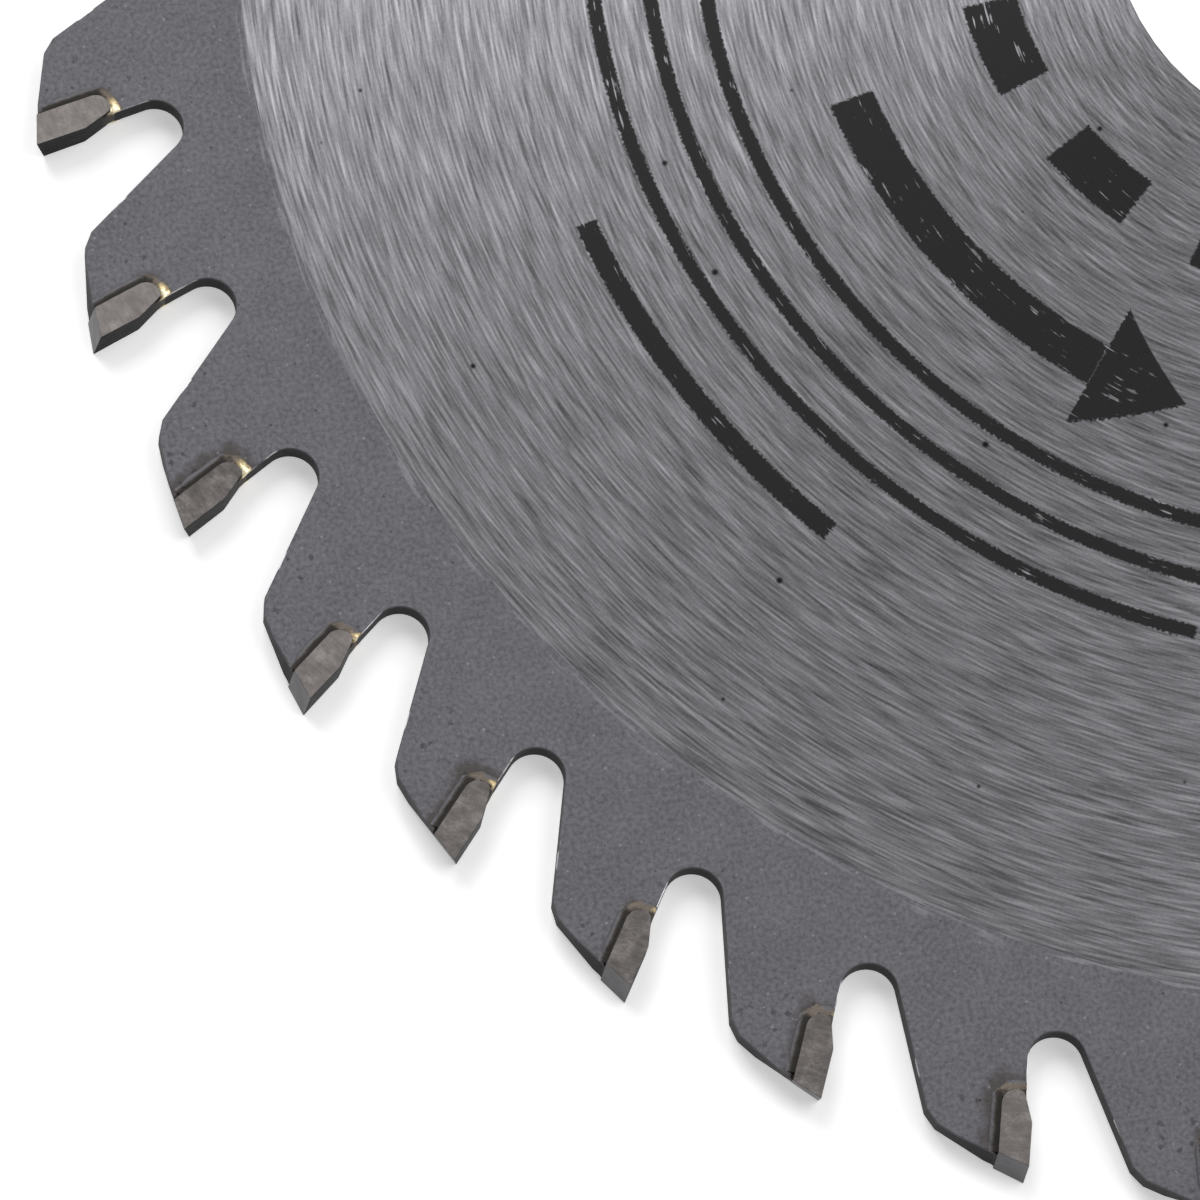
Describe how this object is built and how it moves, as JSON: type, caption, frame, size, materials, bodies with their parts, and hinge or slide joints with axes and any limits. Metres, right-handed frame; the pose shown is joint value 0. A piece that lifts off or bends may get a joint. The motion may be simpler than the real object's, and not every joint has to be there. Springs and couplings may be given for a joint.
{
  "type": "circular saw blade",
  "caption": "Thin round steel saw blade with a plain arbor bore, round-bottomed gullets and a brazed carbide tip on each tooth, ground with alternating top bevels.",
  "frame": {"origin": "on the bore axis, half-way through the plate's thickness", "axes": "+Z along the bore axis, out of the face that the blade turns counter-clockwise on; +X through the cutting point of the first tooth"},
  "size_m": [0.11, 0.11, 0.0018],
  "materials": {
    "plate": "circular brushed land inside a fine blasted rim",
    "carbide": "ground tungsten carbide",
    "braze": "silver braze with a brown heat stain"
  },
  "bodies": {
    "root": {"blade_plate": "plate", "braze_joints": "braze", "carbide_tip_01": "carbide", "carbide_tip_02": "carbide", "carbide_tip_03": "carbide", "carbide_tip_04": "carbide", "carbide_tip_05": "carbide", "carbide_tip_06": "carbide", "carbide_tip_07": "carbide", "carbide_tip_08": "carbide", "carbide_tip_09": "carbide", "carbide_tip_10": "carbide", "carbide_tip_11": "carbide", "carbide_tip_12": "carbide", "carbide_tip_13": "carbide", "carbide_tip_14": "carbide", "carbide_tip_15": "carbide", "carbide_tip_16": "carbide", "carbide_tip_17": "carbide", "carbide_tip_18": "carbide", "carbide_tip_19": "carbide", "carbide_tip_20": "carbide", "carbide_tip_21": "carbide", "carbide_tip_22": "carbide", "carbide_tip_23": "carbide", "carbide_tip_24": "carbide", "carbide_tip_25": "carbide", "carbide_tip_26": "carbide", "carbide_tip_27": "carbide", "carbide_tip_28": "carbide", "carbide_tip_29": "carbide", "carbide_tip_30": "carbide", "carbide_tip_31": "carbide", "carbide_tip_32": "carbide", "carbide_tip_33": "carbide", "carbide_tip_34": "carbide", "carbide_tip_35": "carbide", "carbide_tip_36": "carbide", "carbide_tip_37": "carbide", "carbide_tip_38": "carbide", "carbide_tip_39": "carbide", "carbide_tip_40": "carbide"}
  },
  "joints": []
}
